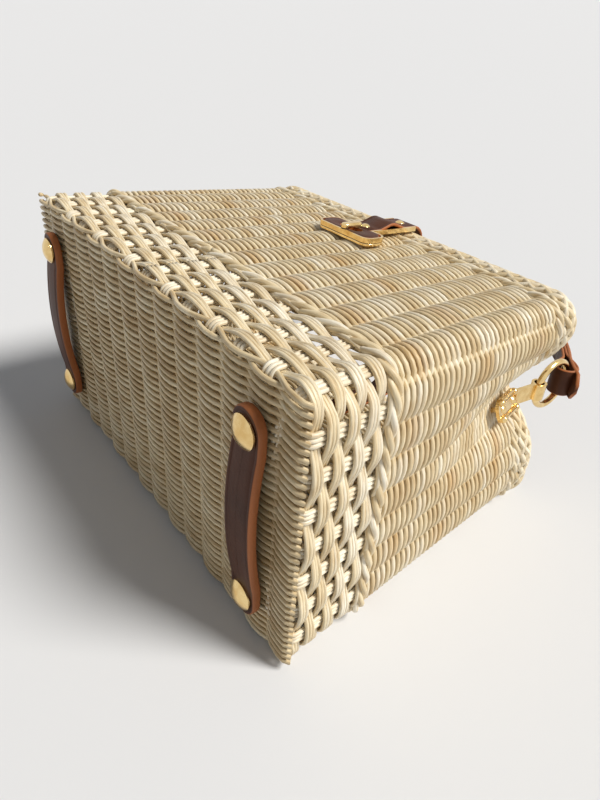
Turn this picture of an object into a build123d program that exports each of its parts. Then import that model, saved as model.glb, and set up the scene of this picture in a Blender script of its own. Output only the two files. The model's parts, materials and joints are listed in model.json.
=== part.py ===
"""Basket bag of woven cane with leather foot straps, a leather handle on rings and a strap clasp.

The bag lies on its back panel. X runs along its width, +Z points out of its front panel, and the
bag's own height runs along +Y, tipped by the taper so that the back panel is level.
"""

import os
from math import atan2, cos, degrees, pi, sin

from build123d import *

os.makedirs("parts", exist_ok=True)

# Basket, in the bag's own directions: width, depth from back to front, height from the bottom
bottom_width = 250.0
bottom_depth = 134.0
top_width = 226.0
top_depth = 114.0
height = 167.0
corner_radius = 14.0
corner_shares = (0.1, 0.4, 0.85)
wall = 6.5
bottom_thickness = 7.0

# Columns of weave over the upright stakes
front_pitch = 18.0
front_columns_each_half = 7
side_pitch = 16.2
side_columns_beside_middle = 3
groove_half_width = 1.3
groove_depth = 1.1

# Rows that stand out all round: open-work band, twisted row and rim border
edge_rise = 2.0
band_bottom = 7.0
band_top = 34.0
band_relief = 0.8
twist_height = 40.0
twist_half = 1.6
row_bulge = 1.2
rim_groove_height = 153.0
rim_groove_half = 2.2
border_height = 160.5
border_half = 3.6
bevel = 1.6

# Gaps in the open-work band
gap_heights = (13.5, 27.0)
gap_width = 5.0
gap_height = 6.0

# Sides pinched inwards towards the opening
pinch_depth = 25.0
pinch_start = 70.0
pinch_half_width = 38.0
pinch_floor_half = 6.0
pinch_centre = 6.0
pinch_power = 1.3
flank_power = 1.8
panel_heights = (70.0, 100.0, 128.0)
inner_heights = (70.0, 120.0)
rest_flat = 0.2

soft_gap = 0.3
rivet_gap = 0.1

# Foot straps under the bottom
foot_spacing = 194.0
foot_length = 100.0
foot_width = 16.5
foot_thickness = 4.0
foot_bow = 3.0
foot_flat = 17.0
stud_spacing = 81.0
stud_radius = 6.7
stud_dome = 2.6
stud_flange = 0.8
shank_radius = 1.8
cap_radius = 5.2
cap_thickness = 1.2

# Clasp on the front panel
clasp_height = 123.75
clasp_width = 40.0
clasp_depth = 14.5
clasp_corner = 5.0
plate_thickness = 1.2
plate_edge = 0.5
clasp_rivet_spacing = 29.0
clasp_rivet_radius = 1.3
back_plate_margin = 2.0
knob_length = 13.0
knob_width = 4.6
knob_thickness = 2.4
knob_edge = 1.2
knob_post_radius = 1.9
knob_flange_radius = 3.2
knob_flange_thickness = 0.5
running_gap = 0.05
slot_clearance = 1.0

# Metal tray of the hasp and the leather strap that lies in it
tray_floor = 0.8
tray_lip = 1.1
tray_end = 164.0
strap_width = 16.2
strap_thickness = 1.6
strap_fit = 0.05
strap_corner = 8.0
strap_tail = 129.0
hasp_rivet_heights = (134.0, 160.5)
arch_heights = (138.0, 147.0, 156.0)
arch_rise = 3.2
rim_slack = 4.0
hasp_rivet_radius = 1.1
hasp_head_radius = 2.6
tail_rivet_heights = (137.0, 149.0)
tail_head_radius = 4.0
head_height = 1.2

# Anchor plates, rings and handle at the pinched sides
anchor_height = 146.0
anchor_length = 30.0
anchor_width = 12.0
anchor_thickness = 1.6
anchor_lift = 2.1
anchor_rivet_spacing = 16.0
rail_radius = 1.3
rail_bead = 1.9
ring_x = 100.0
ring_height = 187.5
ring_depth = 0.0
ring_radius = 12.7
ring_wire = 1.8
eye_width = 9.0
eye_gap = 0.8
tab_seat = 3.0
eye_wall = 1.3
tab_thickness = 1.8
handle_width = 16.0
handle_thickness = 5.0
handle_lean = 28.0
loop_hole = 4.6
loop_wall = 2.5
loop_settle = 0.6
handle_rivet_distance = 15.0
handle_rivet_radius = 1.4
handle_head_radius = 3.4

# Directions of the lying bag
taper = atan2((bottom_depth - top_depth) / 2, height)
across_width = Vector(1, 0, 0)
up = Vector(0, cos(taper), -sin(taper))
front = Vector(0, sin(taper), cos(taper))
crown_radius = ring_x / cos(handle_lean * pi / 180)
eye_sag = ring_radius - (ring_radius**2 - (eye_width / 2) ** 2) ** 0.5
loop_sag = ring_radius - (ring_radius**2 - (handle_width / 2) ** 2) ** 0.5
loop_height = ring_height + ring_radius - loop_settle * loop_sag
crown_centre = loop_height - crown_radius * sin(handle_lean * pi / 180)
crown_top = crown_centre + crown_radius + handle_thickness / 2
stud_reach = soft_gap + foot_thickness + stud_flange + stud_dome
lowest_y = -stud_reach * cos(taper) - stud_spacing / 2 * sin(taper)
highest_y = crown_top * cos(taper) + (handle_width / 2 + ring_depth) * sin(taper)
base = Vector(
    0,
    -(lowest_y + highest_y) / 2,
    (bottom_depth / 2 + row_bulge) * cos(taper) - rest_flat,
)


def place(x, level_height, depth):
    """Point of the lying bag from its own width, height and depth."""
    return base + across_width * x + up * level_height + front * depth


def level(level_height):
    """Plane across the bag: local x is the width, local y points to the front."""
    return Plane(origin=place(0, level_height, 0), x_dir=across_width, z_dir=-up)


def slice_plane(x):
    """Plane along the bag's depth: local x is the depth, local y points down out of the bottom."""
    return Plane(origin=place(x, 0, 0), x_dir=front, z_dir=across_width)


def facing_plane(depth):
    """Plane facing the front: local x is the width, local y is the height."""
    return Plane(origin=place(0, 0, depth), x_dir=across_width, z_dir=front)


def half_width(level_height):
    return (bottom_width + (top_width - bottom_width) * level_height / height) / 2


def half_depth(level_height):
    return (bottom_depth + (top_depth - bottom_depth) * level_height / height) / 2


def pinch(level_height, depth):
    """How far the side wall is pushed in at this height and depth."""
    rise = max(0.0, (level_height - pinch_start) / (height - pinch_start)) ** pinch_power
    slope = (abs(depth - pinch_centre) - pinch_floor_half) / (pinch_half_width - pinch_floor_half)
    share = (1 - min(1.0, max(0.0, slope))) ** flank_power
    return pinch_depth * rise * share


front_run = bottom_width / 2 - corner_radius
arc_run = pi * corner_radius / 2
side_run = bottom_depth / 2 - corner_radius
quarter_run = front_run + arc_run + side_run


def wall_point(run, level_height, offset):
    """Point and outward direction on a quarter of the wall, run along it from the front's middle."""
    a = half_width(level_height) - corner_radius
    b = half_depth(level_height) - corner_radius
    reach = corner_radius + offset
    if run <= front_run:
        return run / front_run * a, b + reach, 0.0, 1.0
    if run <= front_run + arc_run:
        angle = (run - front_run) / corner_radius
        return a + reach * sin(angle), b + reach * cos(angle), sin(angle), cos(angle)
    return a + reach, b * (quarter_run - run) / side_run, 1.0, 0.0


def groove_runs():
    """Runs of the grooves between columns on a quarter, with the front's middle first."""
    fronts = [front_pitch * i for i in range(front_columns_each_half)]
    last_front = front_pitch * (front_columns_each_half - 0.5)
    first_side = quarter_run - side_pitch * side_columns_beside_middle
    beside = range(side_columns_beside_middle, 0, -1)
    sides = [quarter_run - side_pitch * (i - 0.5) for i in beside]
    return fronts + [(last_front + first_side) / 2] + sides


def ridged_quarter():
    """Runs and offsets of a quarter's outline: a groove between flat-topped columns."""
    outline = []
    for run in groove_runs():
        outline += [(run - groove_half_width, 0.0), (run, -groove_depth)]
        outline += [(run + groove_half_width, 0.0)]
    corner_fill = [(front_run + arc_run * share, 0.0) for share in corner_shares]
    return sorted(p for p in outline + corner_fill if p[0] >= 0)


def plain_quarter():
    """Runs of a quarter's smooth outline, used inside the wall."""
    arc = [front_run + arc_run * i / 3 for i in range(4)]
    sides = [quarter_run - side_pitch * i for i in (2.5, 1.5, 0.5)]
    return [(run, 0.0) for run in [0.0] + arc + sides]


def ring_outline(quarter, level_height, offset):
    """Closed outline at one height, from a quarter mirrored to the four corners."""
    outline = []
    for side_x, side_d in ((1, 1), (1, -1), (-1, -1), (-1, 1)):
        points = []
        for run, relief in quarter:
            x, d, _, _ = wall_point(run, level_height, offset + relief)
            if run == 0 and side_x * side_d < 0:
                continue
            signed_d = side_d * d
            points.append((side_x * (x - pinch(level_height, signed_d)), signed_d))
        outline += points if side_x * side_d > 0 else points[::-1]
    tidy = []
    for point in outline:
        if not tidy or abs(point[0] - tidy[-1][0]) + abs(point[1] - tidy[-1][1]) > 0.01:
            tidy.append(point)
    return tidy


def wall_levels():
    """Heights and offsets of the outer wall, from the bottom edge to the rim."""
    levels = [(0.0, -bevel), (edge_rise, 0.0), (band_bottom, 0.0)]
    levels += [(gap_heights[0], -band_relief), (sum(gap_heights) / 2, 0.0)]
    levels += [(gap_heights[1], -band_relief), (band_top, 0.0)]
    levels += [(twist_height - twist_half, row_bulge), (twist_height + twist_half, row_bulge)]
    levels += [(twist_height + twist_half + bevel, 0.0)]
    levels += [(h, 0.0) for h in panel_heights]
    levels += [(rim_groove_height - rim_groove_half - bevel, 0.0)]
    levels += [(rim_groove_height + end * rim_groove_half, -band_relief) for end in (-1, 1)]
    levels += [(border_height + end * border_half, row_bulge) for end in (-1, 1)]
    return levels + [(height, -bevel)]


def gap_planes():
    """Planes facing outwards at the gaps, between columns in one row and on them in the next."""
    planes = []
    for index, gap in enumerate(gap_heights):
        runs = groove_runs()
        if index % 2:
            edges = runs + [2 * quarter_run - runs[-1]]
            runs = [(low + high) / 2 for low, high in zip(edges[:-1], edges[1:])]
        for run in runs:
            x, d, across, forward = wall_point(run, gap, 0.0)
            for side_x, side_d in ((1, 1), (1, -1), (-1, -1), (-1, 1)):
                if run == 0 and side_x < 0 or d < 0.01 and side_d < 0:
                    continue
                out = across_width * across * side_x + front * forward * side_d
                along = across_width * forward * side_d - front * across * side_x
                origin = place(side_x * x, gap, side_d * d)
                planes.append(Plane(origin=origin, x_dir=along, z_dir=out))
    return planes


# Front panel: local x is the width, local y runs up the panel, local z points out
front_panel = Plane(
    origin=place(0, 0, bottom_depth / 2),
    x_dir=across_width,
    z_dir=up * sin(taper) + front * cos(taper),
)
foot_corners = ((-1, -1), (-1, 1), (1, -1), (1, 1))
foot_places = [(side * foot_spacing / 2, end * stud_spacing / 2) for side, end in foot_corners]
clasp_rivet_places = [(side * clasp_rivet_spacing / 2, clasp_height) for side in (-1, 1)]


def column_x(level_height, depth):
    """Half width of the pinched wall at this height and depth."""
    return half_width(level_height) - pinch(level_height, depth)


back_x = column_x(anchor_height, -anchor_width / 2)
front_x = column_x(anchor_height, anchor_width / 2)
anchor_x = (back_x + front_x) / 2
column_turn = front_x - back_x
lean_span = anchor_length / 3
column_lean = column_x(anchor_height + lean_span, 0) - column_x(anchor_height - lean_span, 0)


def anchor_plane(side):
    """Plane of an anchor plate on the side's middle column: local y runs up, local z points out."""
    along = across_width * side * column_turn / anchor_width + front
    rising = across_width * side * column_lean / (2 * lean_span) + up
    out = (rising.cross(along) * side).normalized()
    seat = place(side * anchor_x, anchor_height, 0)
    return Plane(origin=seat + out * anchor_lift, x_dir=along * -side, z_dir=out)


def tail_plane(level_height):
    """Plane on the back panel's outside, facing in, at the strap's tail."""
    inwards = front * cos(taper) - up * sin(taper)
    seat = place(0, level_height, -half_depth(level_height))
    return Plane(origin=seat, x_dir=across_width, z_dir=inwards)


def front_point(panel_height, offset):
    """Depth and height of a point over the front panel."""
    depth = bottom_depth / 2 - panel_height * sin(taper) + offset * cos(taper)
    return depth, panel_height * cos(taper) + offset * sin(taper)


def add_dome(seat, radius, rise):
    """Round head of this radius and rise on the seat, in the part being built."""
    sphere_radius = (radius**2 + rise**2) / (2 * rise)
    latitude = degrees(atan2(sphere_radius - rise, radius))
    with Locations(seat * Pos(0, 0, rise - sphere_radius)):
        Sphere(sphere_radius, arc_size1=latitude, arc_size2=90, align=None)


plate_base = soft_gap
tray_base = plate_base + plate_thickness + soft_gap
leather_base = tray_base + tray_floor + strap_fit
leather_top = leather_base + strap_thickness
knob_base = leather_top + soft_gap
rivet_bore = clasp_rivet_radius + rivet_gap

# Basket: tapered woven wall with ridged columns, raised rows, gaps and pinched sides
with BuildPart() as basket:
    for level_height, offset in wall_levels():
        with BuildSketch(level(level_height)):
            with BuildLine():
                Polyline(*ring_outline(ridged_quarter(), level_height, offset), close=True)
            make_face()
    loft(ruled=True)
    for level_height in (bottom_thickness, *inner_heights, rim_groove_height, height + 1):
        with BuildSketch(level(level_height)):
            with BuildLine():
                Polyline(*ring_outline(plain_quarter(), level_height, -wall), close=True)
            make_face()
    loft(ruled=True, mode=Mode.SUBTRACT)
    with BuildSketch(*gap_planes()):
        with BuildLine():
            Polyline(
                (-gap_width / 2, 0),
                (0, -gap_height / 2),
                (gap_width / 2, 0),
                (0, gap_height / 2),
                close=True,
            )
        make_face()
    extrude(amount=wall + 2, both=True, mode=Mode.SUBTRACT)
    with BuildSketch(facing_plane(0)):
        for index in range(1 - front_columns_each_half, front_columns_each_half):
            with Locations((index * front_pitch, 0)):
                Polygon(
                    (-groove_half_width, -0.5 * groove_depth),
                    (groove_half_width, -0.5 * groove_depth),
                    (0, groove_depth),
                    align=None,
                )
    extrude(amount=bottom_depth, both=True, mode=Mode.SUBTRACT)
    with Locations(*(level(0).offset(-bottom_thickness / 2) * Pos(x, d, 0) for x, d in foot_places)):
        Cylinder(shank_radius + rivet_gap, bottom_thickness + 2, mode=Mode.SUBTRACT)
    with Locations(*(front_panel * Pos(x, y, -wall / 2) for x, y in clasp_rivet_places)):
        Cylinder(rivet_bore, wall + 4, mode=Mode.SUBTRACT)
    with Locations(*(tail_plane(h) * Pos(0, 0, wall / 2) for h in tail_rivet_heights)):
        Cylinder(rivet_bore, wall + 4, mode=Mode.SUBTRACT)
    with Locations(*(tail_plane(h) for h in tail_rivet_heights)):
        Cylinder(tail_head_radius + soft_gap, 2 * (head_height + soft_gap), mode=Mode.SUBTRACT)
    for side in (-1, 1):
        for end in (-1, 1):
            with Locations(anchor_plane(side) * Pos(0, end * anchor_rivet_spacing / 2, -wall / 2)):
                Cylinder(rivet_bore, wall + 12, mode=Mode.SUBTRACT)
    split(bisect_by=Plane.XY, keep=Keep.TOP)
basket.part.label = "basket"
export_step(basket.part, "parts/basket.step")

# Foot straps: bowed leather with round ends, held by two studs each
foot_names = {-1: "left", 1: "right"}
for side, side_name in foot_names.items():
    with BuildPart() as foot_strap:
        with BuildSketch(slice_plane(side * foot_spacing / 2 - foot_width / 2)):
            with BuildLine():
                end = foot_length / 2
                bend = end - foot_flat
                low = soft_gap
                high = soft_gap + foot_thickness
                Line((-end, low), (-bend, low))
                ThreePointArc((-bend, low), (0, low + foot_bow), (bend, low))
                Line((bend, low), (end, low))
                Line((end, low), (end, high))
                Line((end, high), (bend, high))
                ThreePointArc((bend, high), (0, high + foot_bow), (-bend, high))
                Line((-bend, high), (-end, high))
                Line((-end, high), (-end, low))
            make_face()
        extrude(amount=foot_width)
        with BuildSketch(level(0)):
            with Locations((side * foot_spacing / 2, 0)):
                SlotOverall(foot_length, foot_width, rotation=90)
        extrude(amount=high + foot_bow + 1, mode=Mode.INTERSECT)
        with Locations(*(level(0) * Pos(x, d, foot_thickness / 2) for x, d in foot_places)):
            Cylinder(shank_radius + rivet_gap, 2 * foot_thickness, mode=Mode.SUBTRACT)
    foot_strap.part.label = f"foot_strap_{side_name}"
    export_step(foot_strap.part, f"parts/foot_strap_{side_name}.step")

# Foot studs: domed heads under the straps, with caps inside the basket
end_names = {-1: "back", 1: "front"}
for x, d in foot_places:
    place_name = foot_names[1 if x > 0 else -1] + "_" + end_names[1 if d > 0 else -1]
    cap_base = bottom_thickness + soft_gap
    head_base = soft_gap + foot_thickness
    with BuildPart() as stud:
        with BuildSketch(level(cap_base + cap_thickness)):
            with Locations((x, d)):
                Circle(shank_radius)
        extrude(amount=cap_base + cap_thickness + head_base)
        with BuildSketch(level(-head_base)):
            with Locations((x, d)):
                Circle(stud_radius)
        extrude(amount=stud_flange)
        add_dome(level(-head_base - stud_flange) * Pos(x, d, 0), stud_radius, stud_dome)
    stud.part.label = f"foot_stud_{place_name}"
    export_step(stud.part, f"parts/foot_stud_{place_name}.step")
    with BuildPart() as cap:
        with BuildSketch(level(cap_base + cap_thickness)):
            with Locations((x, d)):
                Circle(cap_radius)
                Circle(shank_radius + running_gap, mode=Mode.SUBTRACT)
        extrude(amount=cap_thickness)
    cap.part.label = f"foot_cap_{place_name}"
    export_step(cap.part, f"parts/foot_cap_{place_name}.step")

# Clasp plate on the front, with the knob's bearing and two rivets to a plate inside the wall
with BuildPart() as clasp_plate:
    with BuildSketch(front_panel.offset(plate_base)):
        with Locations((0, clasp_height)):
            RectangleRounded(clasp_width, clasp_depth, clasp_corner)
    extrude(amount=plate_thickness)
    fillet(clasp_plate.faces().sort_by(Axis(front_panel.origin, front_panel.z_dir))[-1].edges(), plate_edge)
    with Locations(front_panel * Pos(0, clasp_height, plate_base)):
        Cylinder(knob_post_radius + running_gap, 4 * plate_thickness, mode=Mode.SUBTRACT)
        Cylinder(
            knob_flange_radius + soft_gap,
            2 * (knob_flange_thickness + rivet_gap),
            mode=Mode.SUBTRACT,
        )
    with Locations(*(front_panel * Pos(x, y, plate_base) for x, y in clasp_rivet_places)):
        Cylinder(rivet_bore, 4 * plate_thickness, mode=Mode.SUBTRACT)
clasp_plate.part.label = "clasp_plate"
export_step(clasp_plate.part, "parts/clasp_plate.step")

with BuildPart() as clasp_back_plate:
    with BuildSketch(front_panel.offset(-wall - soft_gap - plate_thickness / 2)):
        with Locations((0, clasp_height)):
            RectangleRounded(
                clasp_width - back_plate_margin, clasp_depth - back_plate_margin, clasp_corner / 2
            )
        with Locations(*clasp_rivet_places):
            Circle(rivet_bore, mode=Mode.SUBTRACT)
    extrude(amount=plate_thickness / 2)
clasp_back_plate.part.label = "clasp_back_plate"
export_step(clasp_back_plate.part, "parts/clasp_back_plate.step")

for x, y in clasp_rivet_places:
    inner_face = -wall - soft_gap - plate_thickness / 2
    outer_face = plate_base + plate_thickness
    with BuildPart() as clasp_rivet:
        with BuildSketch(front_panel.offset(inner_face)):
            with Locations((x, y)):
                Circle(clasp_rivet_radius)
        extrude(amount=outer_face - inner_face)
        with BuildSketch(front_panel.offset(inner_face - plate_thickness / 2)):
            with Locations((x, y)):
                Circle(2 * clasp_rivet_radius)
        extrude(amount=plate_thickness / 2)
    name = f"clasp_rivet_{foot_names[1 if x > 0 else -1]}"
    clasp_rivet.part.label = name
    export_step(clasp_rivet.part, f"parts/{name}.step")

# Turn knob: an oval bar on a post, kept under the clasp plate by its flange
with BuildPart() as turn_knob:
    with BuildSketch(front_panel.offset(plate_base + rivet_gap)):
        with Locations((0, clasp_height)):
            Circle(knob_flange_radius)
    extrude(amount=knob_flange_thickness - rivet_gap)
    with BuildSketch(front_panel.offset(plate_base + rivet_gap)):
        with Locations((0, clasp_height)):
            Circle(knob_post_radius)
    extrude(amount=knob_base - plate_base)
    with BuildSketch(front_panel.offset(knob_base)):
        with Locations((0, clasp_height)):
            SlotOverall(knob_length, knob_width, rotation=90)
    extrude(amount=knob_thickness)
    fillet(turn_knob.faces().sort_by(Axis(front_panel.origin, front_panel.z_dir))[-1].edges(), knob_edge)
turn_knob.part.label = "turn_knob"
export_step(turn_knob.part, "parts/turn_knob.step")

# Hasp: a shallow metal tray with a wide end, slotted for the knob
slot_length = knob_length + 2 * slot_clearance
slot_width = knob_width + slot_clearance
stem_base = clasp_height
stem_width = strap_width + 2 * (tray_lip + strap_fit)
with BuildPart() as hasp_tray:
    with BuildSketch(front_panel.offset(tray_base)):
        with Locations((0, clasp_height)):
            RectangleRounded(clasp_width, clasp_depth, clasp_corner)
        with Locations((0, (stem_base + tray_end) / 2)):
            Rectangle(stem_width, tray_end - stem_base)
    extrude(amount=leather_top - tray_base)
    with BuildSketch(front_panel.offset(tray_base + tray_floor)):
        with Locations((0, clasp_height)):
            RectangleRounded(
                clasp_width - 2 * tray_lip, clasp_depth - 2 * tray_lip, clasp_corner - tray_lip
            )
        with Locations((0, (stem_base + tray_end) / 2 + 1)):
            Rectangle(stem_width - 2 * tray_lip, tray_end - stem_base + 2)
    extrude(amount=strap_thickness + 1, mode=Mode.SUBTRACT)
    with BuildSketch(front_panel.offset(tray_base)):
        with Locations((0, clasp_height)):
            SlotOverall(slot_length, slot_width)
        with Locations(*((0, y) for y in hasp_rivet_heights)):
            Circle(hasp_rivet_radius + rivet_gap)
    extrude(amount=tray_floor, mode=Mode.SUBTRACT)
hasp_tray.part.label = "hasp_tray"
export_step(hasp_tray.part, "parts/hasp_tray.step")

# Closing strap: leather from inside the back panel, over the rim and into the tray
strap_line = leather_base + strap_thickness / 2
crossing = height + rim_slack + strap_thickness / 2
inside_back = wall + soft_gap + strap_thickness / 2
corner_panel_height = (crossing - strap_line * sin(taper)) / cos(taper)
with BuildPart() as closing_strap:
    with BuildSketch(slice_plane(-strap_width / 2)):
        with BuildLine() as route:
            tail_depth = half_depth(strap_tail) - inside_back
            turn_depth = half_depth(crossing) - inside_back
            front_start = front_point(clasp_height, strap_line)
            front_corner = front_point(corner_panel_height, strap_line)
            arch_lines = (strap_line, strap_line + arch_rise, strap_line)
            arch = [front_point(y, line) for y, line in zip(arch_heights, arch_lines)]
            FilletPolyline(
                (front_start[0], -front_start[1]),
                *((depth, -h) for depth, h in arch),
                (front_corner[0], -front_corner[1]),
                (-turn_depth, -crossing),
                (-tail_depth, -strap_tail),
                radius=strap_corner,
            )
        trace(line_width=strap_thickness)
    extrude(amount=strap_width)
    with BuildSketch(front_panel.offset(leather_base)):
        with Locations((0, clasp_height)):
            RectangleRounded(
                clasp_width - 2 * (tray_lip + strap_fit),
                clasp_depth - 2 * (tray_lip + strap_fit),
                clasp_corner - tray_lip - strap_fit,
            )
    extrude(amount=strap_thickness)
    with BuildSketch(front_panel.offset(leather_base)):
        with Locations((0, clasp_height)):
            SlotOverall(slot_length, slot_width)
        with Locations(*((0, y) for y in hasp_rivet_heights)):
            Circle(hasp_rivet_radius + rivet_gap)
    extrude(amount=2 * strap_thickness, both=True, mode=Mode.SUBTRACT)
    with Locations(*(tail_plane(h) * Pos(0, 0, inside_back) for h in tail_rivet_heights)):
        Cylinder(rivet_bore, 2 * strap_thickness, mode=Mode.SUBTRACT)
closing_strap.part.label = "closing_strap"
export_step(closing_strap.part, "parts/closing_strap.step")

for y, end_name in zip(hasp_rivet_heights, ("lower", "upper")):
    with BuildPart() as hasp_rivet:
        with BuildSketch(front_panel.offset(tray_base)):
            with Locations((0, y)):
                Circle(hasp_rivet_radius)
        extrude(amount=leather_top - tray_base)
        add_dome(front_panel * Pos(0, y, leather_top), hasp_head_radius, head_height)
    name = f"hasp_rivet_{end_name}"
    hasp_rivet.part.label = name
    export_step(hasp_rivet.part, f"parts/{name}.step")

for h, end_name in zip(tail_rivet_heights, ("lower", "upper")):
    with BuildPart() as tail_rivet:
        with BuildSketch(tail_plane(h).offset(soft_gap)):
            Circle(tail_head_radius)
        extrude(amount=head_height - soft_gap)
        with BuildSketch(tail_plane(h).offset(soft_gap)):
            Circle(clasp_rivet_radius)
        extrude(amount=inside_back + strap_thickness / 2)
        add_dome(
            tail_plane(h) * Pos(0, 0, inside_back + strap_thickness / 2), tail_head_radius, head_height
        )
    name = f"tail_rivet_{end_name}"
    tail_rivet.part.label = name
    export_step(tail_rivet.part, f"parts/{name}.step")

# Anchor plates in the pinched valleys, each with a bent tab and an eye for its ring
eye_hole = ring_wire + eye_sag / 2 + eye_gap / 2
eye_height = ring_height - ring_radius + eye_sag / 2
for side, side_name in foot_names.items():
    seat_plane = anchor_plane(side)
    tab_start = seat_plane * Pos(0, anchor_length / 2 - tab_seat, anchor_thickness / 2)
    tab_offset = tab_start.position - place(0, 0, 0)
    with BuildPart() as anchor:
        with BuildSketch(seat_plane):
            RectangleRounded(anchor_width, anchor_length, anchor_width / 2 - 0.5)
        extrude(amount=anchor_thickness)
        with BuildSketch(facing_plane(ring_depth - eye_width / 2)):
            with BuildLine():
                Line(
                    (tab_offset.X, tab_offset.dot(up)),
                    (side * ring_x, eye_height),
                )
            trace(line_width=tab_thickness)
            with Locations((side * ring_x, eye_height)):
                Circle(eye_hole + eye_wall)
                Circle(eye_hole, mode=Mode.SUBTRACT)
        extrude(amount=eye_width)
        for rail in (-1, 1):
            rail_x = rail * (anchor_width / 2 - rail_bead)
            with Locations(seat_plane * Pos(rail_x, 0, anchor_thickness) * Rot(90, 0, 0)):
                Cylinder(rail_radius, anchor_rivet_spacing + 4)
            for end in (-1, 1):
                bead_y = end * (anchor_rivet_spacing / 2 + 2)
                with Locations(seat_plane * Pos(rail_x, bead_y, anchor_thickness)):
                    Sphere(rail_bead)
        with BuildSketch(seat_plane):
            with Locations(*((0, end * anchor_rivet_spacing / 2) for end in (-1, 1))):
                Circle(rivet_bore)
        extrude(amount=2 * anchor_thickness, mode=Mode.SUBTRACT)
        with BuildSketch(seat_plane):
            Rectangle(2 * anchor_width, 2 * anchor_length)
        extrude(amount=-2 * rail_bead, mode=Mode.SUBTRACT)
    anchor.part.label = f"anchor_plate_{side_name}"
    export_step(anchor.part, f"parts/anchor_plate_{side_name}.step")
    for end, end_name in ((-1, "lower"), (1, "upper")):
        inside = -wall - anchor_lift - soft_gap
        head_seat = seat_plane * Pos(0, end * anchor_rivet_spacing / 2, anchor_thickness)
        with BuildPart() as anchor_rivet:
            add_dome(head_seat, hasp_head_radius, head_height)
            with BuildSketch(seat_plane.offset(inside)):
                with Locations((0, end * anchor_rivet_spacing / 2)):
                    Circle(clasp_rivet_radius)
            extrude(amount=anchor_thickness - inside)
            with BuildSketch(seat_plane.offset(inside - 1)):
                with Locations((0, end * anchor_rivet_spacing / 2)):
                    Circle(hasp_head_radius)
            extrude(amount=1)
        name = f"anchor_rivet_{side_name}_{end_name}"
        anchor_rivet.part.label = name
        export_step(anchor_rivet.part, f"parts/{name}.step")
    ring_centre = place(side * ring_x, ring_height, ring_depth)
    with BuildPart(Plane(origin=ring_centre, z_dir=across_width)) as ring:
        Torus(ring_radius, ring_wire)
    ring.part.label = f"ring_{side_name}"
    export_step(ring.part, f"parts/ring_{side_name}.step")

# Handle: a doubled leather strap, arched, with a round loop about each ring
rivet_turn = handle_lean + degrees(handle_rivet_distance / crown_radius)
handle_bore = handle_rivet_radius + rivet_gap


def crown_plane(angle):
    """Plane on the arch's middle line, facing outwards, at an angle up from the width."""
    out = across_width * cos(angle * pi / 180) + up * sin(angle * pi / 180)
    centre = place(0, crown_centre, ring_depth)
    return Plane(origin=centre + out * crown_radius, x_dir=front, z_dir=out)


with BuildPart() as handle:
    with BuildSketch(facing_plane(ring_depth - handle_width / 2)):
        with BuildLine():
            ThreePointArc(
                (-ring_x, loop_height),
                (0, crown_centre + crown_radius),
                (ring_x, loop_height),
            )
        trace(line_width=handle_thickness)
        with Locations((-ring_x, loop_height), (ring_x, loop_height)):
            Circle(loop_hole + loop_wall)
            Circle(loop_hole, mode=Mode.SUBTRACT)
    extrude(amount=handle_width)
    with Locations(crown_plane(rivet_turn), crown_plane(180 - rivet_turn)):
        Cylinder(handle_bore, 3 * handle_thickness, mode=Mode.SUBTRACT)
handle.part.label = "handle"
export_step(handle.part, "parts/handle.step")

for side, side_name in foot_names.items():
    rivet_plane = crown_plane(rivet_turn if side > 0 else 180 - rivet_turn)
    head_seat = handle_thickness / 2 + rivet_gap
    with BuildPart() as handle_rivet:
        with Locations(rivet_plane):
            Cylinder(handle_rivet_radius, 2 * head_seat)
        add_dome(rivet_plane * Pos(0, 0, head_seat), handle_head_radius, head_height)
        add_dome(rivet_plane * Pos(0, 0, -head_seat) * Rot(180, 0, 0), handle_head_radius, head_height)
    name = f"handle_rivet_{side_name}"
    handle_rivet.part.label = name
    export_step(handle_rivet.part, f"parts/{name}.step")
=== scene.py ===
import json
import math

import bpy
import numpy as np
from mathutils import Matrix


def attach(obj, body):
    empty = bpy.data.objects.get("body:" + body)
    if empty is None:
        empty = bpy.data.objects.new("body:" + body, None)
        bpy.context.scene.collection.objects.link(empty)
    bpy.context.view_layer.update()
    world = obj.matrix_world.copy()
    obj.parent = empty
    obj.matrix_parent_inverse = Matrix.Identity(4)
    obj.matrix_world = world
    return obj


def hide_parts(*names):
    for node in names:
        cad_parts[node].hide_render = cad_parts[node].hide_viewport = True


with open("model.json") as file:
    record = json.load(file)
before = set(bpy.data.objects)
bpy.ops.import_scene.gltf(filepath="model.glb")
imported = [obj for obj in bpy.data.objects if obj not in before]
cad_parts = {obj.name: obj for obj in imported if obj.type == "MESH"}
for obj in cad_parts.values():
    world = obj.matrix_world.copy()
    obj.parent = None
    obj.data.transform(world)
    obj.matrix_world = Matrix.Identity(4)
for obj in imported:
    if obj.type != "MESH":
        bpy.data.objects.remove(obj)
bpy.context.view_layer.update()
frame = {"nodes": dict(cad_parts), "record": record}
MM = 0.001
FLOOR_HALF = 60.0

# The basket's own sizes, in millimetres: the box tapers to its opening and its sides are pinched in
BOTTOM_WIDTH, TOP_WIDTH = 250.0, 226.0
BOTTOM_DEPTH, TOP_DEPTH = 134.0, 114.0
HEIGHT = 167.0
CORNER_RADIUS = 14.0
PINCH_DEPTH, PINCH_START = 25.0, 70.0
PINCH_HALF_WIDTH, PINCH_FLOOR_HALF, PINCH_CENTRE = 38.0, 6.0, 6.0
PINCH_POWER, FLANK_POWER = 1.3, 1.8
FRONT_PITCH, FRONT_STAKES_EACH_HALF = 18.0, 7
SIDE_PITCH, SIDE_STAKES_BESIDE_MIDDLE = 16.2, 3
RING_X, RING_HEIGHT, RING_DEPTH = 100.0, 187.5, 0.0
EDGE_RADIUS = 6.0

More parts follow.
